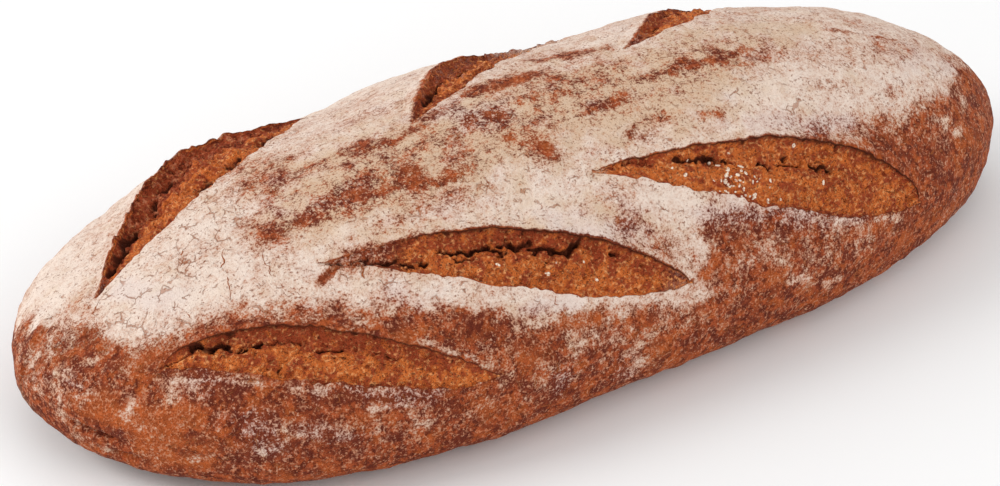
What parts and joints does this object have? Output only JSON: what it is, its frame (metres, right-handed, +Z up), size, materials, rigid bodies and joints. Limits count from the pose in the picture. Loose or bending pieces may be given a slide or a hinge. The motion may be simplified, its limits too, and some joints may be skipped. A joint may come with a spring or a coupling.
{
  "type": "whole wheat miche",
  "caption": "Long oval hearth loaf, low and domed on a flat sole, with a floured crust torn open along diagonal slashes in a chevron; it stands by itself.",
  "frame": {"origin": "on the floor, under the middle of the loaf's box", "axes": "+X along the loaf towards its narrower, taller end; +Y towards the side where the slashes tore open under their lips; +Z up"},
  "size_m": [0.4, 0.1759, 0.0912],
  "materials": {
    "crust": "matt baked crust dusted with pale flour",
    "crumb": "matt torn crumb, orange brown with dark bran"
  },
  "bodies": {
    "root": {"loaf": "crust"}
  },
  "joints": []
}
